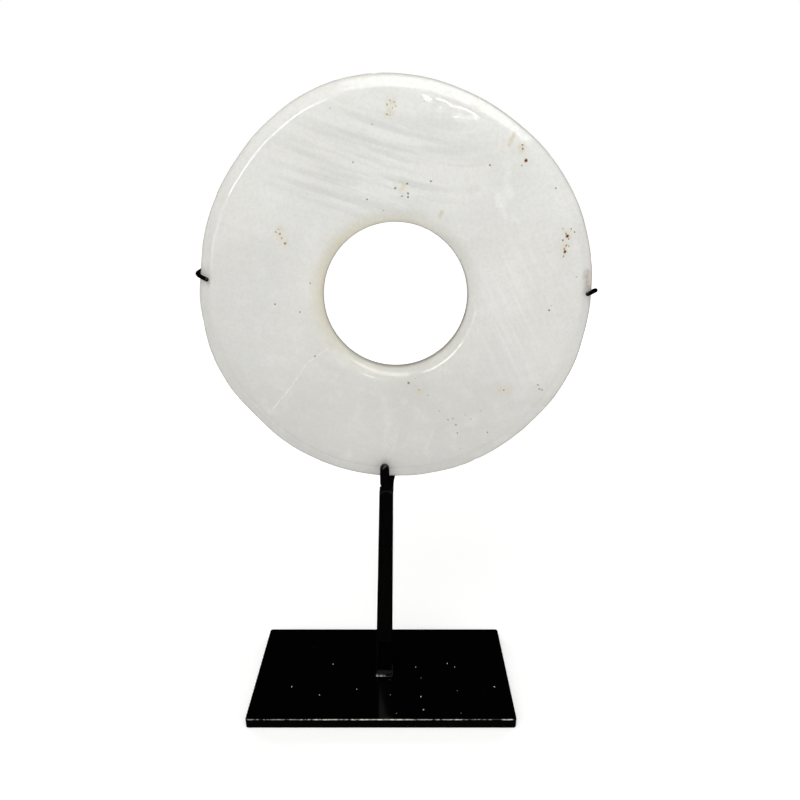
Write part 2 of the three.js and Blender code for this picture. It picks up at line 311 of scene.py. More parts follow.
def new_tree(name, inputs):
    """An empty geometry tree with the named inputs, given as name: (socket type, value)."""
    tree = bpy.data.node_groups.new(name, "GeometryNodeTree")
    tree.interface.new_socket("Geometry", in_out="INPUT", socket_type="NodeSocketGeometry")
    tree.interface.new_socket("Geometry", in_out="OUTPUT", socket_type="NodeSocketGeometry")
    for label, (kind, value) in inputs.items():
        socket = tree.interface.new_socket(label, in_out="INPUT", socket_type=kind)
        if value is not None:
            socket.default_value = value
    return tree, tree.nodes.new("NodeGroupInput")


def close_tree(tree, geometry, material):
    """Ends a geometry tree in Realize Instances and Set Material."""
    whole = add(tree, "GeometryNodeRealizeInstances", {"Geometry": geometry})
    dressed = add(tree, "GeometryNodeSetMaterial", {"Geometry": whole.outputs[0], "Material": material})
    add(tree, "NodeGroupOutput", {0: dressed.outputs[0]})


def run_tree(tree, source, name, values):
    """Runs a tree on a source object with its inputs set, and gives the result as a plain mesh."""
    modifier = source.modifiers.new("build", "NODES")
    modifier.node_group = tree
    sockets = {s.name: s.identifier for s in tree.interface.items_tree if s.in_out == "INPUT"}
    for label, value in values.items():
        modifier[sockets[label]] = value
    graph = bpy.context.evaluated_depsgraph_get()
    mesh = bpy.data.meshes.new_from_object(source.evaluated_get(graph), depsgraph=graph)
    mesh.name = name
    source.modifiers.remove(modifier)
    bpy.data.objects.remove(source)
    piece = bpy.data.objects.new(name, mesh)
    scene.collection.objects.link(piece)
    return piece


tree, group = new_tree("scattered flakes", {
    "Flake radius": ("NodeSocketFloat", 0.5 * MM),
    "Seed": ("NodeSocketInt", 4),
    "Dust": ("NodeSocketMaterial", None),
})
spots = add(tree, "GeometryNodeMeshToPoints", {"Mesh": group.outputs["Geometry"]})
flake = add(tree, "GeometryNodeMeshIcoSphere", {"Radius": group.outputs["Flake radius"], "Subdivisions": 2})
ruffle = add(tree, "ShaderNodeTexNoise", {"Scale": 1 / ruffle_size})
push = add(tree, "ShaderNodeVectorMath", {0: ruffle.outputs[1], 1: (0.5, 0.5, 0.5)}, operation="SUBTRACT")
push = add(tree, "ShaderNodeVectorMath", {0: push.outputs[0], "Scale": flake_ruffle}, operation="SCALE")
flake = add(tree, "GeometryNodeSetPosition", {"Geometry": flake.outputs[0], "Offset": push.outputs[0]})
length = add(tree, "FunctionNodeRandomValue", {2: 0.6, 3: 1.35, "Seed": group.outputs["Seed"]})
flat = add(tree, "ShaderNodeCombineXYZ", {0: length.outputs[1], 1: 0.7, 2: 0.3})
size = add(tree, "GeometryNodeInputNamedAttribute", {"Name": "fleck_size"})
flat = add(tree, "ShaderNodeVectorMath", {0: flat.outputs[0], "Scale": size.outputs["Attribute"]},
           operation="SCALE")
spin = add(tree, "FunctionNodeRandomValue",
           {0: (0, 0, 0), 1: (0, 0, 2 * math.pi), "Seed": group.outputs["Seed"]},
           data_type="FLOAT_VECTOR")
turned = add(tree, "FunctionNodeEulerToRotation", {0: spin.outputs[0]})
flakes = add(tree, "GeometryNodeInstanceOnPoints", {
    "Points": spots.outputs[0], "Instance": flake.outputs[0],
    "Rotation": turned.outputs[0], "Scale": flat.outputs[0],
})
close_tree(tree, flakes.outputs[0], group.outputs["Dust"])
dust = run_tree(tree, dust_seed, "dust_flecks", {
    "Flake radius": flake_radius, "Seed": dust_draw, "Dust": lint,
})
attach(dust, "root")

# The post: a square steel bar drawn down from 16 mm at the foot to 12 mm at the top. It was welded
# on a shade out of plumb, so that it leans to the right, and has the same black enamel.
post_low, post_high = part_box("post")
post_foot_width = 16.0 * MM
post_top_width = 12.1 * MM
post_foot_x = post_low.x + post_foot_width / 2
post_top_x = post_high.x - post_top_width / 2
post_edge = 1.0 * MM
post_margin = 1.6 * MM
post_end_ease = 0.3 * MM
post_steps = 24
post_rings = []
for share in np.concatenate([[0, 0], np.linspace(0, 1, post_steps + 1), [1, 1]]):
    width = post_foot_width + (post_top_width - post_foot_width) * share
    ring = rounded_rectangle(width, width, post_edge * width / post_foot_width)
    ring = ring + [post_foot_x + (post_top_x - post_foot_x) * share, 0]
    height = post_low.z + (post_high.z - post_low.z) * share
    post_rings.append(np.column_stack([ring, np.full(len(ring), height)]))
for end, step in ((0, 1), (-1, -1)):
    centre = post_rings[end].mean(axis=0)
    for ring_number, inset in ((end, post_margin), (end + step, post_end_ease)):
        shrink = 1 - 2 * inset / post_foot_width
        post_rings[ring_number][:, :2] = centre[:2] + (post_rings[ring_number][:, :2] - centre[:2]) * shrink
    post_rings[end + 2 * step][:, 2] += step * post_end_ease
post = loft("steel_post", post_rings, enamel)
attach(post, "root")
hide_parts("post")

# The cradle: 8 mm round bar bent to a U that takes the disc's rim, with a short prong in front and
# a longer leg behind. Its ends are dressed round, and it is enamelled with the stand.
cradle_low, cradle_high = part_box("cradle")
bar_radius = 4.0 * MM
cradle_x = cradle_low.x + bar_radius
cradle_y = cradle_high.y - bar_radius
saddle_height = 7.9 * MM
cradle_z = cradle_low.z + saddle_height + bar_radius
cradle_bend = 8.0 * MM
fit_gap = 0.3 * MM
prong_rise = 16.5 * MM
prong_top = cradle_z + bar_radius + fit_gap + prong_rise

tree, group = new_tree("round bar along a path", {
    "Bar radius": ("NodeSocketFloat", 4 * MM),
    "Sides": ("NodeSocketInt", 32),
    "Paint": ("NodeSocketMaterial", None),
})
hoop = add(tree, "GeometryNodeCurvePrimitiveCircle", {
    "Resolution": group.outputs["Sides"], "Radius": group.outputs["Bar radius"],
})
taper = add(tree, "GeometryNodeInputRadius")
swept = add(tree, "GeometryNodeCurveToMesh", {
    "Curve": group.outputs["Geometry"], "Profile Curve": hoop.outputs[0],
    "Scale": taper.outputs[0], "Fill Caps": True,
})
smooth = add(tree, "GeometryNodeSetShadeSmooth", {"Geometry": swept.outputs[0]})
close_tree(tree, smooth.outputs[0], group.outputs["Paint"])
bar_tree = tree

bend_steps = 14
filed_start = [(0.0, 0.55), (0.06, 0.82), (0.3, 1.0)]
dome_steps = np.radians([0, 15, 30, 45, 58, 70, 80, 87])


def bent_bar(name, corners, bends, radius, sides):
    """A round bar that turns each corner on a smooth bend, with a filed start and a domed end."""
    corners = [np.array(corner, float) for corner in corners]
    stations = []
    for before, corner, after, bend in zip(corners, corners[1:], corners[2:], bends):
        back = (before - corner) / np.linalg.norm(before - corner)
        on = (after - corner) / np.linalg.norm(after - corner)
        reach = bend / math.tan(math.acos(np.clip(back @ on, -1, 1)) / 2)
        for t in np.linspace(0, 1, bend_steps + 1):
            ends = (1 - t) ** 2 * (corner + back * reach) + t * t * (corner + on * reach)
            stations.append(ends + 2 * t * (1 - t) * corner)
    first = stations[0] - corners[0]
    first /= np.linalg.norm(first)
    last = corners[-1] - stations[-1]
    last /= np.linalg.norm(last)
    points = [(corners[0] + first * up * radius, scale) for up, scale in filed_start]
    points += [(station, 1.0) for station in stations]
    for rise in dome_steps:
        points.append((corners[-1] + last * radius * math.sin(rise), math.cos(rise)))
    line = bpy.data.curves.new(name, "CURVE")
    line.dimensions = "3D"
    spline = line.splines.new("POLY")
    spline.points.add(len(points) - 1)
    for point, (position, scale) in zip(spline.points, points):
        point.co = (*position, 1)
        point.radius = scale
    source = bpy.data.objects.new(name + "_path", line)
    scene.collection.objects.link(source)
    return run_tree(bar_tree, source, name, {"Bar radius": radius, "Sides": sides, "Paint": enamel})


cradle_path = [
    (cradle_x, cradle_y, cradle_high.z), (cradle_x, cradle_y, cradle_z),
    (cradle_x, -cradle_y, cradle_z), (cradle_x, -cradle_y, prong_top - bar_radius),
]
cradle = bent_bar("cradle_bar", cradle_path, [cradle_bend, cradle_bend], bar_radius, 40)
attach(cradle, "root")
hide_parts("cradle")

# The saddle: a small steel block between the post and the cradle bar. Its right side is ground to
# a hollow that flares up to a horn under the rim, and its edges are softened by the paint.
saddle_depth = 9.0 * MM
saddle_left = cradle_x - 3.6 * MM
saddle_right = cradle_x + 7.2 * MM
horn_x = cradle_high.x
disc_low, disc_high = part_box("onyx_disc")
horn_z = disc_low.z + 0.02 * MM
flare_steps = 8
saddle_ease = 0.5 * MM
flare = []
for t in np.linspace(0, 1, flare_steps + 1):
    x = (1 - t) ** 2 * saddle_right + 2 * t * (1 - t) * saddle_right + t * t * horn_x
    z = (1 - t) ** 2 * cradle_low.z + 2 * t * (1 - t) * cradle_z + t * t * (horn_z - fit_gap)
    flare.append((x, z))
outline = [(saddle_left, cradle_low.z)] + flare + [(cradle_x, cradle_z + bar_radius), (saddle_left, cradle_z)]
saddle_points = [(x, side * saddle_depth / 2, z) for side in (-1, 1) for x, z in outline]
count = len(outline)
saddle_faces = [list(range(count)), list(range(count, 2 * count))[::-1]]
saddle_faces += [[j, j + count, (j + 1) % count + count, (j + 1) % count] for j in range(count)]
saddle_mesh = bpy.data.meshes.new("cradle_saddle")
saddle_mesh.from_pydata(saddle_points, [], saddle_faces)
saddle_mesh.polygons.foreach_set("use_smooth", [True] * len(saddle_mesh.polygons))
saddle_mesh.materials.append(enamel)
saddle_source = bpy.data.objects.new("saddle_source", saddle_mesh)
scene.collection.objects.link(saddle_source)
soften = saddle_source.modifiers.new("soften", "BEVEL")
soften.width = saddle_ease
soften.segments = 3
soften.limit_method = "ANGLE"
soften.angle_limit = math.radians(40)
soften.harden_normals = True
graph = bpy.context.evaluated_depsgraph_get()
saddle_final = bpy.data.meshes.new_from_object(saddle_source.evaluated_get(graph), depsgraph=graph)
bpy.data.objects.remove(saddle_source)
saddle = bpy.data.objects.new("cradle_saddle", saddle_final)
scene.collection.objects.link(saddle)
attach(saddle, "root")

# The hooks: two arms of thin round bar, welded beside the cradle's rear leg. Each runs out behind
# the disc, turns forwards past its rim and folds over the edge of the front face.
hook_radius = 1.65 * MM
hook_y = disc_high.y + fit_gap + hook_radius
beside_leg = math.sqrt((bar_radius + hook_radius + fit_gap) ** 2 - (cradle_y - hook_y) ** 2)
hook_root_z = cradle_z + bar_radius + 6.0 * MM
hook_weld_length = 14.0 * MM
elbow_y = 5.5 * MM - hook_y
arm_bend = 14.0 * MM
heel_bend = 5.0 * MM
claw_bend = 11.0 * MM

# The rim as it was ground: an oval with high and low spots, by direction, spread and height.
rim_spots = [
    (61, 27, -3.5), (109, 16, 1.2), (138, 7, -0.6), (172, 7, -0.9),
    (203, 25.5, 3.9), (218.5, 10.3, -1.9), (267, 16, -1.0), (334, 15, 1.9),
]
disc_width = 303.2 * MM
disc_tall = 312.0 * MM


def rim_radius(angle):
    """The distance from the disc's centre to its rim, in directions measured from +X towards +Z."""
    radius = 1 / np.hypot(np.cos(angle) / (disc_width / 2), np.sin(angle) / (disc_tall / 2))
    for at, spread, height in rim_spots:
        away = np.degrees(np.angle(np.exp(1j * (angle - math.radians(at)))))
        radius = radius + height * MM * np.exp(-(away / spread) ** 2)
    return radius


every_way = np.radians(np.arange(0, 360, 0.25))
disc_x = disc_high.x - (rim_radius(every_way) * np.cos(every_way)).max()
disc_z = disc_high.z - (rim_radius(every_way) * np.sin(every_way)).max()

# Where each hook meets the rim, in degrees, and its own slack, drop, reach and dip in millimetres.
hooks = {
    "left": dict(side=-1, at=173.3, slack=0.14, drop=-1.2, reach=7.4, dip=3.3),
    "right": dict(side=1, at=2.3, slack=1.19, drop=7.0, reach=5.6, dip=2.6),
}
hook_roots = {}
for name, hook in hooks.items():
    stand_off = hook_radius + fit_gap + hook["slack"] * MM
    way = math.radians(hook["at"])
    elbow_x = disc_x + (rim_radius(way) + stand_off) * math.cos(way)
    elbow_z = disc_z + (rim_radius(way) + stand_off) * math.sin(way)
    root_x = cradle_x + hook["side"] * beside_leg
    tip_x = elbow_x - hook["side"] * (stand_off + hook["reach"] * MM)
    path = [
        (root_x, hook_y, hook_root_z), (root_x, hook_y, hook_root_z + hook_weld_length),
        (elbow_x, hook_y, elbow_z - hook["drop"] * MM), (elbow_x, elbow_y, elbow_z),
        (tip_x, -hook_y, elbow_z - hook["dip"] * MM),
    ]
    arm = bent_bar(name + "_hook_arm", path, [arm_bend, heel_bend, claw_bend], hook_radius, 24)
    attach(arm, "root")
    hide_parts(name + "_claw_arm")
    hook_roots[name] = root_x

# The welds: beads laid with a stick and painted over. They run round the post's foot and head and
# up both sides of the cradle's rear leg, as overlapping ripples.
tree, group = new_tree("weld ripples along a path", {
    "Ripple spacing": ("NodeSocketFloat", 1 * MM),
    "Bead radius": ("NodeSocketFloat", 1 * MM),
    "Seed": ("NodeSocketInt", 7),
    "Paint": ("NodeSocketMaterial", None),
})
beats = add(tree, "GeometryNodeCurveToPoints",
            {"Curve": group.outputs["Geometry"], "Length": group.outputs["Ripple spacing"]},
            mode="LENGTH")
puddle = add(tree, "GeometryNodeMeshUVSphere", {
    "Segments": 14, "Rings": 9, "Radius": group.outputs["Bead radius"],
})
puddle = add(tree, "GeometryNodeSetShadeSmooth", {"Geometry": puddle.outputs[0]})
swell = add(tree, "FunctionNodeRandomValue", {2: 0.86, 3: 1.12, "Seed": group.outputs["Seed"]})
girth = add(tree, "ShaderNodeCombineXYZ", {0: swell.outputs[1], 1: swell.outputs[1], 2: 0.75})
ripples = add(tree, "GeometryNodeInstanceOnPoints", {
    "Points": beats.outputs[0], "Instance": puddle.outputs[0],
    "Rotation": beats.outputs["Rotation"], "Scale": girth.outputs[0],
})
close_tree(tree, ripples.outputs[0], group.outputs["Paint"])
weld_tree = tree

ripple_share = 0.8
weld_draw = 7
crest_share = 0.55
scuff_and_glint_amount = 1.3


def weld(name, points, closed, bead, scuff_and_glint=None):
    """A rippled bead along a path, its paint rubbed pale on the front crest between two places in X:
    partly rubbed paint and partly a painted highlight.
    """
    line = bpy.data.curves.new(name, "CURVE")
    line.dimensions = "3D"
    spline = line.splines.new("POLY")
    spline.points.add(len(points) - 1)
    for point, position in zip(spline.points, points):
        point.co = (*position, 1)
    spline.use_cyclic_u = closed
    source = bpy.data.objects.new(name + "_path", line)
    scene.collection.objects.link(source)
    values = {"Ripple spacing": bead * ripple_share, "Bead radius": bead, "Seed": weld_draw, "Paint": enamel}
    piece = run_tree(weld_tree, source, name, values)
    if scuff_and_glint:
        spots = np.array([vertex.co for vertex in piece.data.vertices])
        crest = spots[:, 2] > points[0][2] + crest_share * bead
        scuffed_and_glinting = (spots[:, 0] > scuff_and_glint[0]) & (spots[:, 0] < scuff_and_glint[1]) & (spots[:, 1] < 0) & crest
        wear_and_highlight = piece.data.attributes.new("wear_and_highlight", "FLOAT", "POINT")
        wear_and_highlight.data.foreach_set("value", np.where(scuffed_and_glinting, scuff_and_glint_amount, 0.0).astype(np.float32))
    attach(piece, "root")


foot_ring = rounded_rectangle(post_foot_width, post_foot_width, post_edge) + [post_foot_x, 0]
# The foot weld's front crest is painted pale: rubbed paint that also stands in for its highlight, a painted
# highlight.
foot_scuff_and_glint = (post_foot_x - 7.6 * MM, post_foot_x + 1.9 * MM)
weld("post_foot_weld", [(x, y, plate_high.z) for x, y in foot_ring], True, 1.0 * MM, foot_scuff_and_glint)
head_ring = rounded_rectangle(saddle_right - saddle_left - 2.0 * MM, saddle_depth - 0.8 * MM, post_edge)
head_ring = head_ring + [(saddle_left + saddle_right) / 2, 0]
weld("post_head_weld", [(x, y, post_high.z + fit_gap) for x, y in head_ring], True, 1.0 * MM)
seam_share = 0.14
seam_back = 1.5 * MM
for name, root_x in hook_roots.items():
    seam_x = (root_x + cradle_x) / 2 + (root_x - cradle_x) * seam_share
    seam_y = (hook_y + cradle_y) / 2 + seam_back
    seam = [(seam_x, seam_y, hook_root_z + rise * MM) for rise in (1, 7, 13)]
    weld(name + "_hook_weld", seam, False, 1.1 * MM)

# The disc: a slab of pale banded onyx drilled through the middle, its rim bevelled and rounded by
# hand and the whole polished. Its section is turned about the hole and drawn out to the ground rim.
disc_thick = disc_high.y - disc_low.y
hole_radius = 56.35 * MM
hole_wall_flat = 1.0 * MM
hole_edge = (disc_thick - hole_wall_flat) / 2
hole_offset = (-0.7 * MM, 0.0, -0.8 * MM)
bevel_width = 9.5 * MM
bevel_slope = math.radians(28)
arris_radius = 9.0 * MM
rim_round = 5.0 * MM
disc_radius = disc_width / 2
around_steps = 800


def section_arc(across, along, radius, start, stop, steps):
    turn = np.linspace(start, stop, steps + 1)
    return np.column_stack([across + radius * np.cos(turn), along + radius * np.sin(turn)])


def half_section(face_steps):
    """Half of the ring's section, from the hole's wall over one face to the rim, on the +Y side."""
    half = disc_thick / 2
    bevel_start = disc_radius - bevel_width
    arris_reach = arris_radius * math.tan(bevel_slope / 2)
    rim_across = disc_radius - rim_round
    drop = (rim_across - bevel_start) * math.sin(bevel_slope)
    rim_along = half - (drop + rim_round) / math.cos(bevel_slope)
    lean = math.pi / 2 - bevel_slope
    mouth = section_arc(hole_radius + hole_edge, half - hole_edge, hole_edge, math.pi, math.pi / 2, 12)
    arris = section_arc(bevel_start - arris_reach, half - arris_radius, arris_radius, math.pi / 2, lean, 6)
    rim = section_arc(rim_across, rim_along, rim_round, lean, 0, 7)
    face = np.linspace(mouth[-1], arris[0], face_steps + 1)[1:-1]
    bevel = np.linspace(arris[-1], rim[0], 5)[1:-1]
    return np.concatenate([mouth, face, arris, bevel, rim])


back_half = half_section(12)
front_half = half_section(44)[::-1] * [1, -1]
rim_band = np.linspace(back_half[-1], front_half[0], 5)[1:-1]
wall_band = np.linspace(front_half[-1], back_half[0], 3)[1:]
section = np.concatenate([back_half, rim_band, front_half, wall_band])


def point_list(name, points):
    """A bare mesh of points, which a tree reads by their order."""
    mesh = bpy.data.meshes.new(name)
    mesh.from_pydata(points.tolist(), [], [])
    holder = bpy.data.objects.new(name, mesh)
    scene.collection.objects.link(holder)
    return holder


turn = np.linspace(-math.pi, math.pi, around_steps, endpoint=False)
section_points = point_list("disc_section", np.column_stack([section, np.zeros(len(section))]))
rim_points = point_list("ground_rim", np.column_stack([rim_radius(turn), turn, turn * 0]))

tree, group = new_tree("ring turned from a section", {
    "Section": ("NodeSocketObject", None),
    "Section points": ("NodeSocketInt", 100),
    "Ground rim": ("NodeSocketObject", None),
    "Steps around": ("NodeSocketInt", 880),
    "Hole radius": ("NodeSocketFloat", 57 * MM),
    "Nominal radius": ("NodeSocketFloat", 150 * MM),
    "Centre": ("NodeSocketVector", (0, 0, 0)),
    "Hole offset": ("NodeSocketVector", (0, 0, 0)),
    "Stone": ("NodeSocketMaterial", None),
})
steps = add(tree, "ShaderNodeMath", {0: group.outputs["Steps around"], 1: 1.0}, operation="ADD")
sheet_grid = add(tree, "GeometryNodeMeshGrid", {
    "Size X": 1.0, "Size Y": 1.0,
    "Vertices X": steps.outputs[0], "Vertices Y": group.outputs["Section points"],
})
where = add(tree, "ShaderNodeSeparateXYZ", {0: add(tree, "GeometryNodeInputPosition").outputs[0]})
turn_share = add(tree, "ShaderNodeMath", {0: where.outputs[0], 1: 0.5}, operation="ADD")
last_point = add(tree, "ShaderNodeMath", {0: group.outputs["Section points"], 1: 1.0}, operation="SUBTRACT")
row = add(tree, "ShaderNodeMath", {0: where.outputs[1], 1: 0.5}, operation="ADD")
row = add(tree, "ShaderNodeMath", {0: row.outputs[0], 1: last_point.outputs[0]}, operation="MULTIPLY")
row = add(tree, "ShaderNodeMath", {0: row.outputs[0]}, operation="ROUND")
column = add(tree, "ShaderNodeMath", {0: turn_share.outputs[0], 1: group.outputs["Steps around"]},
             operation="MULTIPLY")
column = add(tree, "ShaderNodeMath", {0: column.outputs[0]}, operation="ROUND")
column = add(tree, "ShaderNodeMath", {0: column.outputs[0], 1: group.outputs["Steps around"]},
             operation="MODULO")
position = add(tree, "GeometryNodeInputPosition").outputs[0]
profile = add(tree, "GeometryNodeObjectInfo", {"Object": group.outputs["Section"]})
ground = add(tree, "GeometryNodeObjectInfo", {"Object": group.outputs["Ground rim"]})
point = add(tree, "GeometryNodeSampleIndex", {"Geometry": profile.outputs["Geometry"]},
            data_type="FLOAT_VECTOR")
tree.links.new(position, point.inputs["Value"])
tree.links.new(row.outputs[0], point.inputs["Index"])
reach = add(tree, "GeometryNodeSampleIndex", {"Geometry": ground.outputs["Geometry"]},
            data_type="FLOAT_VECTOR")
tree.links.new(position, reach.inputs["Value"])
tree.links.new(column.outputs[0], reach.inputs["Index"])
on_section = add(tree, "ShaderNodeSeparateXYZ", {0: point.outputs[0]})
on_rim = add(tree, "ShaderNodeSeparateXYZ", {0: reach.outputs[0]})
share = add(tree, "ShaderNodeMapRange", {
    0: on_section.outputs[0], 1: group.outputs["Hole radius"], 2: group.outputs["Nominal radius"],
}, clamp=False)
drawn = add(tree, "ShaderNodeMath", {0: on_rim.outputs[0], 1: group.outputs["Nominal radius"]},
            operation="SUBTRACT")
radius = add(tree, "ShaderNodeMath", {0: drawn.outputs[0], 1: share.outputs[0], 2: on_section.outputs[0]},
             operation="MULTIPLY_ADD")
cosine = add(tree, "ShaderNodeMath", {0: on_rim.outputs[1]}, operation="COSINE")
sine = add(tree, "ShaderNodeMath", {0: on_rim.outputs[1]}, operation="SINE")
across = add(tree, "ShaderNodeMath", {0: cosine.outputs[0], 1: radius.outputs[0]}, operation="MULTIPLY")
upwards = add(tree, "ShaderNodeMath", {0: sine.outputs[0], 1: radius.outputs[0]}, operation="MULTIPLY")
spot = add(tree, "ShaderNodeCombineXYZ", {
    0: across.outputs[0], 1: on_section.outputs[1], 2: upwards.outputs[0],
})
spot = add(tree, "ShaderNodeVectorMath", {0: spot.outputs[0], 1: group.outputs["Centre"]}, operation="ADD")
inwards = add(tree, "ShaderNodeMath", {0: 1.0, 1: share.outputs[0]}, operation="SUBTRACT")
aside = add(tree, "ShaderNodeVectorMath", {0: group.outputs["Hole offset"], "Scale": inwards.outputs[0]},
            operation="SCALE")
spot = add(tree, "ShaderNodeVectorMath", {0: spot.outputs[0], 1: aside.outputs[0]}, operation="ADD")
ring = add(tree, "GeometryNodeSetPosition", {
    "Geometry": sheet_grid.outputs[0], "Position": spot.outputs[0],
})
ring = add(tree, "GeometryNodeMergeByDistance", {"Geometry": ring.outputs[0], "Distance": 0.01 * MM})
ring = add(tree, "GeometryNodeSetShadeSmooth", {"Geometry": ring.outputs[0]})
close_tree(tree, ring.outputs[0], group.outputs["Stone"])

onyx = bpy.data.materials.new("polished banded onyx")
blank = bpy.data.objects.new("disc_blank", bpy.data.meshes.new("disc_blank"))
scene.collection.objects.link(blank)
disc = run_tree(tree, blank, "onyx_ring", {
    "Section": section_points, "Section points": len(section), "Ground rim": rim_points,
    "Steps around": around_steps, "Hole radius": hole_radius, "Nominal radius": disc_radius,
    "Centre": (disc_x, 0.0, disc_z), "Hole offset": hole_offset, "Stone": onyx,
})
for holder in (section_points, rim_points):
    bpy.data.objects.remove(holder)

# The hand work on it: hollows that the grinding left in the faces, flats along the bevel and small
# nicks in the edges. All of it is cut inwards from the true form.
stone = disc.data
count = len(stone.vertices)
skin = np.empty(count * 3, np.float32)
outward = np.empty(count * 3, np.float32)
stone.vertices.foreach_get("co", skin)
stone.vertex_normals.foreach_get("vector", outward)
outward = outward.reshape(-1, 3).astype(float)
place = (skin.reshape(-1, 3) - [disc_x, 0, disc_z]) / MM
hole_place = place - np.array(hole_offset) / MM
way = np.arctan2(place[:, 2], place[:, 0])
from_centre = np.hypot(place[:, 0], place[:, 2])
rim_here = rim_radius(way) / MM
from_rim = rim_here - from_centre
from_hole = np.hypot(hole_place[:, 0], hole_place[:, 2]) - hole_radius / MM
wave_count = 9


def undulation(where, wavelength, seed):
    """Smooth hills and hollows from 0 to 1, made of a few crossed waves."""
    draw = np.random.default_rng(seed)
    total = np.zeros(len(where))
    for _ in range(wave_count):
        heading = draw.normal(size=3)
        heading /= np.linalg.norm(heading) * wavelength * draw.uniform(0.7, 1.5)
        total += np.sin(2 * math.pi * (where @ heading) + draw.uniform(0, 2 * math.pi))
    return np.clip(0.5 + total / wave_count, 0, 1)


# Depths in millimetres: over the faces, along the edge, and of the fine ripples, which are deepest
# on the upper right of the bevel.
face_hollow = 0.11
edge_flat = 0.5
edge_reach = 9
ripple_depth = 0.05
bevel_ripple = 0.10
ripple_way = 70
ripple_spread = 16
ripple_inset = 10
ripple_width = 7
ring_radius = 150
ring_place = np.column_stack([ring_radius * np.cos(way), place[:, 1], ring_radius * np.sin(way)])
near_edge = np.exp(-np.clip(from_rim / edge_reach, 0, None) ** 4)
cut = face_hollow * undulation(place, wavelength=42, seed=3)
cut += near_edge * edge_flat * undulation(ring_place, wavelength=34, seed=11)
ripple_turn = (np.degrees(way) - ripple_way) / ripple_spread
ripple_across = (from_rim - ripple_inset) / ripple_width
rippled = np.exp(-ripple_turn ** 2 - ripple_across ** 2)
cut += (ripple_depth + bevel_ripple * rippled) * undulation(place, wavelength=9, seed=5)

# Down the lower half the arris has been rubbed away, so that the face rolls over into the rim.
rub_reach = 24.0
rub_curve = 0.0078
rub_from = 183
rub_to = 355
fade_left = 17
fade_right = 14
rubbed_way = np.degrees(way) % 360
rubbed = np.clip((rubbed_way - rub_from) / fade_left, 0, 1)
rubbed *= np.clip((rub_to - rubbed_way) / fade_right, 0, 1)
rolled = rub_curve * np.clip(rub_reach - from_rim, 0, None) ** 2
bevelled = math.tan(bevel_slope) * np.clip(bevel_width / MM - from_rim, 0, None)
cut += rubbed ** 2 * (3 - 2 * rubbed) * np.clip(rolled - bevelled, 0, None) * (place[:, 1] < 0)

# The nicks: some where the eye catches them and many small ones drawn at random round the edges,
# each with its direction, its place across the rim, its width and its depth.
small_nicks = 46
seen_nicks = (254.5, 265.5, 268.2, 42.0, 334.0, 21.0)
nick_draw = np.random.default_rng(29)
nicks = [(math.radians(at), 12.5, 2.2, 0.7) for at in seen_nicks]
for _ in range(small_nicks):
    nicks.append((nick_draw.uniform(-math.pi, math.pi), nick_draw.choice([-8.0, -2.0, 5.0, 11.0]),
                  nick_draw.uniform(1.4, 3.0), nick_draw.uniform(0.12, 0.5)))
for at, across, width, depth in nicks:
    round_way = np.angle(np.exp(1j * (way - at))) * from_centre
    along = place[:, 1] + across
    nick = np.exp(-(round_way / width) ** 2 - (along / width) ** 2 - (from_rim / (2.5 * width)) ** 2)
    cut += depth * nick
skin = place * MM + [disc_x, 0, disc_z] - outward * cut[:, None] * MM
stone.vertices.foreach_set("co", skin.astype(np.float32).ravel())
stone.update()

# Where the colour lies: warm stain round the hole's lip and on the rim, a thin line of painted shade in
# the bore, and the stone lighter towards the top and right, painted light from above over a random mottle.
lip_reach = 8.0
bore_shade_reach = 0.5
rim_reach = 1.8
upper_left = 0.5 + 0.5 * np.cos(way - math.radians(150))
lower_left = 0.5 - 0.5 * np.sin(way - math.radians(60))
right_side = 0.5 + 0.5 * np.cos(way - math.radians(-20))
mottle = undulation(place, wavelength=60, seed=17)
lip_stain = np.exp(-(np.clip(from_hole, 0, None) / lip_reach) ** 2) * (0.12 + 0.88 * upper_left ** 2)
# A thin dark line on the narrowest part of the bore: painted shade of its wall seen edge-on.
bore_shade_line = np.exp(-(np.clip(from_hole, 0, None) / bore_shade_reach) ** 2) * (0.3 + 0.7 * lower_left)
rim_stain = np.exp(-(np.clip(from_rim, 0, None) / rim_reach) ** 2) * (0.3 + 0.4 * mottle + 0.5 * right_side)
# Lighter towards the top and right: painted light from above, over a random mottle.
pale = 0.44 + 0.0040 * place[:, 2] + 0.0008 * place[:, 0] + 0.35 * (mottle - 0.5)
colour_maps = {
    "lip_stain": lip_stain, "bore_shade_line": bore_shade_line, "rim_stain": rim_stain, "pale": np.clip(pale, 0, 1),
}
for label, amounts in colour_maps.items():
    stone.attributes.new(label, "FLOAT", "POINT").data.foreach_set("value", amounts.astype(np.float32))

# Polished onyx: a pale, slightly see-through calcite with grey-green growth bands, cloudy patches,
# hairline veins and rusty pores. The polish is glassy, with a faint unevenness left by hand work.
pit_depth = 0.25 * MM
polish_depth = 0.04 * MM
light_depth = 2.5 * MM
quiver_size = 1.1
quiver_reach = 1.6
band_size = (62, 60, 5.5)
streak_size = (60, 50, 3.6)
cloud_size = 70
wisp_size = 14
pore_spacing = 22
fray_size = 3.2
grow_size = 2.6
grit_size = 2.4
onyx.use_nodes = True
rock = onyx.node_tree
from_middle = add(rock, "ShaderNodeMapping", {
    0: add(rock, "ShaderNodeTexCoord").outputs["Object"],
    1: (-disc_x / MM, 0, -disc_z / MM), 3: (1 / MM, 1 / MM, 1 / MM),
}).outputs[0]
quiver = add(rock, "ShaderNodeTexNoise", {"Vector": from_middle, "Scale": 1 / quiver_size, "Detail": 3.0})
quiver = add(rock, "ShaderNodeVectorMath", {0: quiver.outputs[1], 1: (0.5, 0.5, 0.5)}, operation="SUBTRACT")
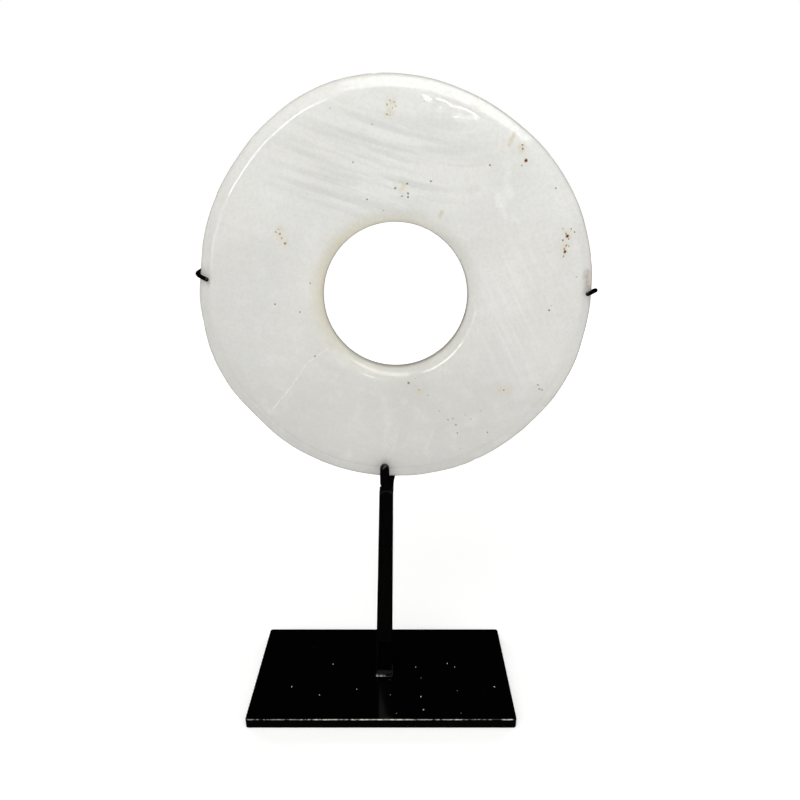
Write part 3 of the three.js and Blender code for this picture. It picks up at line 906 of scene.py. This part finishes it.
quiver = add(rock, "ShaderNodeVectorMath", {0: quiver.outputs[0], "Scale": quiver_reach}, operation="SCALE")
ragged = add(rock, "ShaderNodeVectorMath", {0: from_middle, 1: quiver.outputs[0]},
             operation="ADD").outputs[0]
face_y = disc_low.y / MM


def to_nearest(spots):
    """Millimetres from a point of the stone to the nearest of some spots on the front face."""
    nearest = None
    for x, z in spots:
        away = add(rock, "ShaderNodeVectorMath", {0: ragged, 1: (x, face_y, z)}, operation="DISTANCE")
        away = away.outputs["Value"]
        if nearest is not None:
            away = add(rock, "ShaderNodeMath", {0: nearest, 1: away}, operation="MINIMUM").outputs[0]
        nearest = away
    return nearest


def to_strokes(strokes):
    """Millimetres from a point of the stone to the nearest of some lines on the front face."""
    nearest = None
    for (x, z), (end_x, end_z) in strokes:
        run = Vector((end_x - x, 0, end_z - z))
        apart = add(rock, "ShaderNodeVectorMath", {0: ragged, 1: (x, face_y, z)},
                    operation="SUBTRACT").outputs[0]
        share = add(rock, "ShaderNodeVectorMath", {0: apart, 1: run / run.length_squared},
                    operation="DOT_PRODUCT")
        share = add(rock, "ShaderNodeMath", {0: share.outputs["Value"], 1: 0.0},
                    operation="ADD", use_clamp=True)
        foot = add(rock, "ShaderNodeVectorMath", {0: run, "Scale": share.outputs[0]}, operation="SCALE")
        away = add(rock, "ShaderNodeVectorMath", {0: apart, 1: foot.outputs[0]}, operation="DISTANCE")
        away = away.outputs["Value"]
        if nearest is not None:
            away = add(rock, "ShaderNodeMath", {0: nearest, 1: away}, operation="MINIMUM").outputs[0]
        nearest = away
    return nearest


pits = [
    (-30.7, 97.2), (-21.2, 72.2), (-9.6, 63.9), (2.1, 63.2), (25.1, 84.5), (67.1, 95.2), (-65.7, 11.5),
    (-93.4, -4.5), (-74.5, -10.7), (-64.6, -46), (115.5, 79.7), (42.3, -100.2), (46.2, -99), (49, -104.7),
    (50.3, -112), (75.4, -111.5), (90, -110.6), (98.4, -111.2), (101.4, -100.7), (115.8, -94.6),
    (118, -9.2), (4.3, 74.3), (8.6, 73.6), (89.3, 108.7), (89.9, 106.1),
]
faint_pits = [
    (-45.7, 132.4), (-69.5, 129.2), (-16.9, 121.9), (19.7, 136.8), (35.1, -92.6), (56.3, -95.8),
    (61.5, -99.6), (69, -92.5), (98.3, -111.4), (101, -102), (115.5, -94.3), (52.7, -126.5),
    (25.4, -78.6), (15, -64.4), (119.4, -5.8), (136.6, 16.4),
]
rust_specks = [
    (-4.1, 137.1), (-1.3, 136.1), (-6.2, 134.6), (0, 133.3), (-6.6, 128.3), (-4.2, 127.7), (-2.4, 132.1),
    (-87.3, 51.2), (-88.9, 49), (-86, 47.9), (-85.1, 44.7), (-82.8, 41.1), (-0.8, 79.7), (7.8, 83.1),
    (8.6, 76.3), (89.9, 94.9), (123.2, 51.5), (129.1, 51.2), (125.7, 47.6), (127.9, 44), (123.8, 43.1),
    (125.6, 36.8), (132.3, 49.3), (128.6, 38.8), (125.7, 31.4), (126.7, 39.5), (89.5, 125), (84.5, 130.5),
    (75.7, 127.5), (115.5, -73.7), (118.1, -74.4), (114.3, -69.9), (118.8, -79), (-146.8, 12.1),
    (18.2, -74.4), (86.7, -74.4),
]
rust_spots = [(92.5, 98.4), (126.2, 34.9), (126.9, 46.2)]
moss_spots = [(9.7, -68.3), (75.5, 127.5)]
stains = [
    (-3.4, 134.8), (-4.6, 129.5), (-86.8, 49.8), (-84.4, 43.5), (4.1, 81.1), (88.4, 107.1), (126.7, 47.7),
    (125.9, 37.5), (18.2, -74.4), (84.2, -74.4), (89.2, -74.4),
]
stain_strokes = [
    ((88.5, 126.5), (80, 109)), ((32.3, 60), (33.4, 63)), ((-146, 13), (-143, 10)), ((52, 135), (58, 132.5)),
]
slashes = [((141.5, 24.3), (144.0, 26.9))]
bruises = [((149, 6), (146.5, 18))]
frosts = [((77.4, 89.2), (93.3, 66.6)), ((66, 73), (86, 62))]
veins = [
    ((-53.2, -39.1), (-71.7, -52.1)), ((-71.7, -52.1), (-85.5, -72.1)), ((-85.5, -72.1), (-101.9, -91.5)),
]
faint_veins = [
    ((30.5, -109.2), (23.2, -130.8)), ((-0.1, -113.9), (-3.1, -128.5)), ((81.9, 119.4), (64.9, 95.2)),
    ((64.9, 95.2), (46.3, 74.9)), ((46.3, 74.9), (35, 62.7)),
]

def oval_share(middle, reach):
    """How far a point of the stone is from an oval's middle on the face, as a share of its reach."""
    x, z = middle
    wide, tall = reach
    oval = add(rock, "ShaderNodeMapping", {
        0: from_middle, 1: (-x / wide, 0, -z / tall), 3: (1 / wide, 0, 1 / tall),
    })
    return add(rock, "ShaderNodeVectorMath", {0: oval.outputs[0]}, operation="LENGTH").outputs["Value"]


# The growth bands sink towards the right and level out: a noise drawn out along that course. They
# are strongest in an oval above the hole.
course = add(rock, "ShaderNodeSeparateXYZ", {0: from_middle})
bow_middle = 48.0
bow_tightness = 30.0
bow_slope = -0.34
sidelong = add(rock, "ShaderNodeMath", {0: course.outputs[0], 1: bow_middle},
               operation="SUBTRACT").outputs[0]
bow = add(rock, "ShaderNodeMath", {0: sidelong, 1: sidelong, 2: bow_tightness ** 2},
          operation="MULTIPLY_ADD")
bow = add(rock, "ShaderNodeMath", {0: bow.outputs[0], 1: 0.5}, operation="POWER").outputs[0]
level = add(rock, "ShaderNodeMath", {0: bow, 1: bow_slope, 2: course.outputs[2]}, operation="MULTIPLY_ADD")
drawn_out = add(rock, "ShaderNodeCombineXYZ", {
    0: course.outputs[0], 1: course.outputs[1], 2: level.outputs[0],
})
drawn_out = add(rock, "ShaderNodeMapping", {0: drawn_out.outputs[0], 3: [1 / size for size in band_size]})
band_noise = add(rock, "ShaderNodeTexNoise", {
    "Vector": drawn_out.outputs[0], "Scale": 1.0, "Detail": 4.0, "Roughness": 0.5,
})
band_share = oval_share(middle=(-12, 96), reach=(104, 52))
band_zone = add(rock, "ShaderNodeMapRange", {0: band_share, 1: 1.0, 2: 0.35, 3: 0.12, 4: 1.0},
                interpolation_type="SMOOTHSTEP")
bands = add(rock, "ShaderNodeMapRange", {0: band_noise.outputs[0], 1: 0.42, 2: 0.64})
bands = add(rock, "ShaderNodeMath", {0: bands.outputs[0], 1: band_zone.outputs[0]},
            operation="MULTIPLY").outputs[0]

# Soft streaks that lean over the right half, as thin growth layers cut at a slant.
streak_lean = math.radians(-62)
leaning = add(rock, "ShaderNodeMapping", {0: from_middle, 2: (0, streak_lean, 0)})
leaning = add(rock, "ShaderNodeMapping", {0: leaning.outputs[0], 3: [1 / size for size in streak_size]})
lean_noise = add(rock, "ShaderNodeTexNoise", {"Vector": leaning.outputs[0], "Scale": 1.0, "Detail": 2.5})
lean_share = oval_share(middle=(98, -8), reach=(55, 80))
lean_zone = add(rock, "ShaderNodeMapRange", {0: lean_share, 1: 1.0, 2: 0.3},
                interpolation_type="SMOOTHSTEP")
streaks = add(rock, "ShaderNodeMapRange", {0: lean_noise.outputs[0], 1: 0.48, 2: 0.68})
streaks = add(rock, "ShaderNodeMath", {0: streaks.outputs[0], 1: lean_zone.outputs[0]},
              operation="MULTIPLY").outputs[0]

clouds = add(rock, "ShaderNodeTexNoise", {
    "Vector": from_middle, "Scale": 1 / cloud_size, "Detail": 4.0, "Distortion": 0.6,
})
clouds = add(rock, "ShaderNodeMapRange", {0: clouds.outputs[0], 1: 0.35, 2: 0.65}).outputs[0]
wisps = add(rock, "ShaderNodeTexNoise", {
    "Vector": from_middle, "Scale": 1 / wisp_size, "Detail": 5.0, "Roughness": 0.6,
})
wisps = add(rock, "ShaderNodeMapRange", {0: wisps.outputs[0], 1: 0.5, 2: 0.75}).outputs[0]
pores = add(rock, "ShaderNodeTexVoronoi", {"Vector": from_middle, "Scale": 1 / pore_spacing})
pores = add(rock, "ShaderNodeMapRange", {0: pores.outputs[0], 1: 0.022, 2: 0.012}).outputs[0]
fray = add(rock, "ShaderNodeTexNoise", {"Vector": ragged, "Scale": 1 / fray_size, "Detail": 4.0})
fray = add(rock, "ShaderNodeMapRange", {0: fray.outputs[0], 1: 0.36, 2: 0.62}).outputs[0]
patchy = add(rock, "ShaderNodeMapRange", {0: fray, 3: 0.45, 4: 1.0}).outputs[0]
grit = add(rock, "ShaderNodeTexNoise", {"Vector": from_middle, "Scale": 1 / grit_size, "Detail": 2.0})
grit = add(rock, "ShaderNodeMapRange", {0: grit.outputs[0], 1: 0.42, 2: 0.68}).outputs[0]

# The rusty specks are of uneven size, so their distances swell and shrink.
grow = add(rock, "ShaderNodeTexNoise", {"Vector": from_middle, "Scale": 1 / grow_size, "Detail": 1.0})
grow = add(rock, "ShaderNodeMapRange", {0: grow.outputs[0], 1: 0.3, 2: 0.7, 3: 0.55, 4: -0.35}).outputs[0]
to_specks = add(rock, "ShaderNodeMath", {0: to_nearest(rust_specks), 1: grow}, operation="ADD").outputs[0]

# Each kind of mark: the distance to it, where it has faded out and where it is full, in millimetres,
# how it fades, and the pattern that breaks it up.
kinds = [
    ("stain", to_nearest(stains), 6.5, 0.5, "SMOOTHSTEP", fray),
    ("smear", to_strokes(stain_strokes), 2.2, 0.4, "LINEAR", patchy),
    ("speck", to_specks, 0.95, 0.4, "LINEAR", None),
    ("spot", to_nearest(rust_spots), 1.2, 0.8, "LINEAR", None),
    ("halo", to_nearest(rust_spots), 1.8, 1.0, "LINEAR", None),
    ("moss", to_nearest(moss_spots), 1.4, 0.6, "LINEAR", None),
    ("pit", to_nearest(pits), 0.85, 0.35, "LINEAR", None),
    ("faint_pit", to_nearest(faint_pits), 0.8, 0.3, "LINEAR", None),
    ("slash", to_strokes(slashes), 0.8, 0.3, "LINEAR", None),
    ("bruise", to_strokes(bruises), 7.0, 2.0, "SMOOTHSTEP", patchy),
    ("frost", to_strokes(frosts), 13.0, 1.0, "SMOOTHSTEP", wisps),
    ("vein", to_strokes(veins), 0.9, 0.3, "LINEAR", fray),
    ("faint_vein", to_strokes(faint_veins), 1.3, 0.3, "LINEAR", fray),
]
marks = {}
for label, away, faded, full, fade, broken_by in kinds:
    amount = add(rock, "ShaderNodeMapRange", {0: away, 1: faded, 2: full},
                 interpolation_type=fade).outputs[0]
    if broken_by:
        amount = add(rock, "ShaderNodeMath", {0: amount, 1: broken_by}, operation="MULTIPLY").outputs[0]
    marks[label] = amount
lip = add(rock, "ShaderNodeAttribute", attribute_name="lip_stain").outputs["Fac"]
bore_shade = add(rock, "ShaderNodeAttribute", attribute_name="bore_shade_line").outputs["Fac"]
rim = add(rock, "ShaderNodeAttribute", attribute_name="rim_stain").outputs["Fac"]
mottle_and_painted_top_light = add(rock, "ShaderNodeAttribute", attribute_name="pale").outputs["Fac"]
# The base tone: lighter with the mottle and towards the top and right, where light from above is painted in.
tone = add(rock, "ShaderNodeMix", {0: mottle_and_painted_top_light, 6: linear("#d0cfcb"), 7: linear("#e7e7e4")},
           data_type="RGBA")
tone = tone.outputs[2]

# Each layer of colour in its order: where it lies, its colour and its strength.
layers = [
    (clouds, "#e0ddd5", 0.28), (wisps, "#f1f0ee", 0.25), (grit, "#bdbeb8", 0.16),
    (bands, "#b0b6b2", 0.34), (streaks, "#f4f5f4", 0.20), (marks["frost"], "#f6f7f8", 0.42),
    # Among these, the dark olive line round the bore is painted shade.
    (lip, "#e0d5ac", 0.42), (bore_shade, "#77705a", 0.60), (rim, "#a0937a", 0.50),
    (marks["bruise"], "#a8917f", 0.65), (marks["faint_vein"], "#efe6c6", 0.30),
    (marks["vein"], "#f6f0db", 0.60), (marks["stain"], "#cfbf8c", 0.45),
    (marks["smear"], "#c6b47a", 0.55), (marks["speck"], "#7d5a2a", 0.80),
    (marks["halo"], "#c08a4a", 0.50), (marks["spot"], "#5a2a10", 0.95),
    (marks["moss"], "#5f5a1e", 0.85), (pores, "#8c7c66", 0.45),
    (marks["faint_pit"], "#6a6252", 0.50), (marks["slash"], "#46301f", 0.90),
    (marks["pit"], "#2e2620", 0.90),
]
for amount, colour, strength in layers:
    share = add(rock, "ShaderNodeMath", {0: amount, 1: strength}, operation="MULTIPLY").outputs[0]
    tone = add(rock, "ShaderNodeMix", {0: share, 6: tone, 7: linear(colour)}, data_type="RGBA").outputs[2]
smudge = add(rock, "ShaderNodeMapRange", {0: wisps, 1: 0.0, 2: 1.0, 3: 0.07, 4: 0.13}).outputs[0]
hollow = add(rock, "ShaderNodeMath", {0: marks["pit"], 1: marks["speck"]}, operation="MAXIMUM").outputs[0]
relief = add(rock, "ShaderNodeMath", {0: hollow, 1: -1.0, 2: 1.0}, operation="MULTIPLY_ADD").outputs[0]
dent = add(rock, "ShaderNodeBump", {"Strength": 0.6, "Distance": pit_depth, "Height": relief})
polish = add(rock, "ShaderNodeBump", {
    "Strength": 0.25, "Distance": polish_depth, "Height": fray, "Normal": dent.outputs[0],
})
polished = rock.nodes["Principled BSDF"]
rock.links.new(tone, polished.inputs["Base Color"])
rock.links.new(smudge, polished.inputs["Roughness"])
rock.links.new(polish.outputs[0], polished.inputs["Normal"])
polished.inputs["IOR"].default_value = 1.55
polished.inputs["Subsurface Weight"].default_value = 0.3
polished.inputs["Subsurface Radius"].default_value = (1.0, 0.95, 0.88)
polished.inputs["Subsurface Scale"].default_value = light_depth

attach(disc, "root")
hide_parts("onyx_disc")
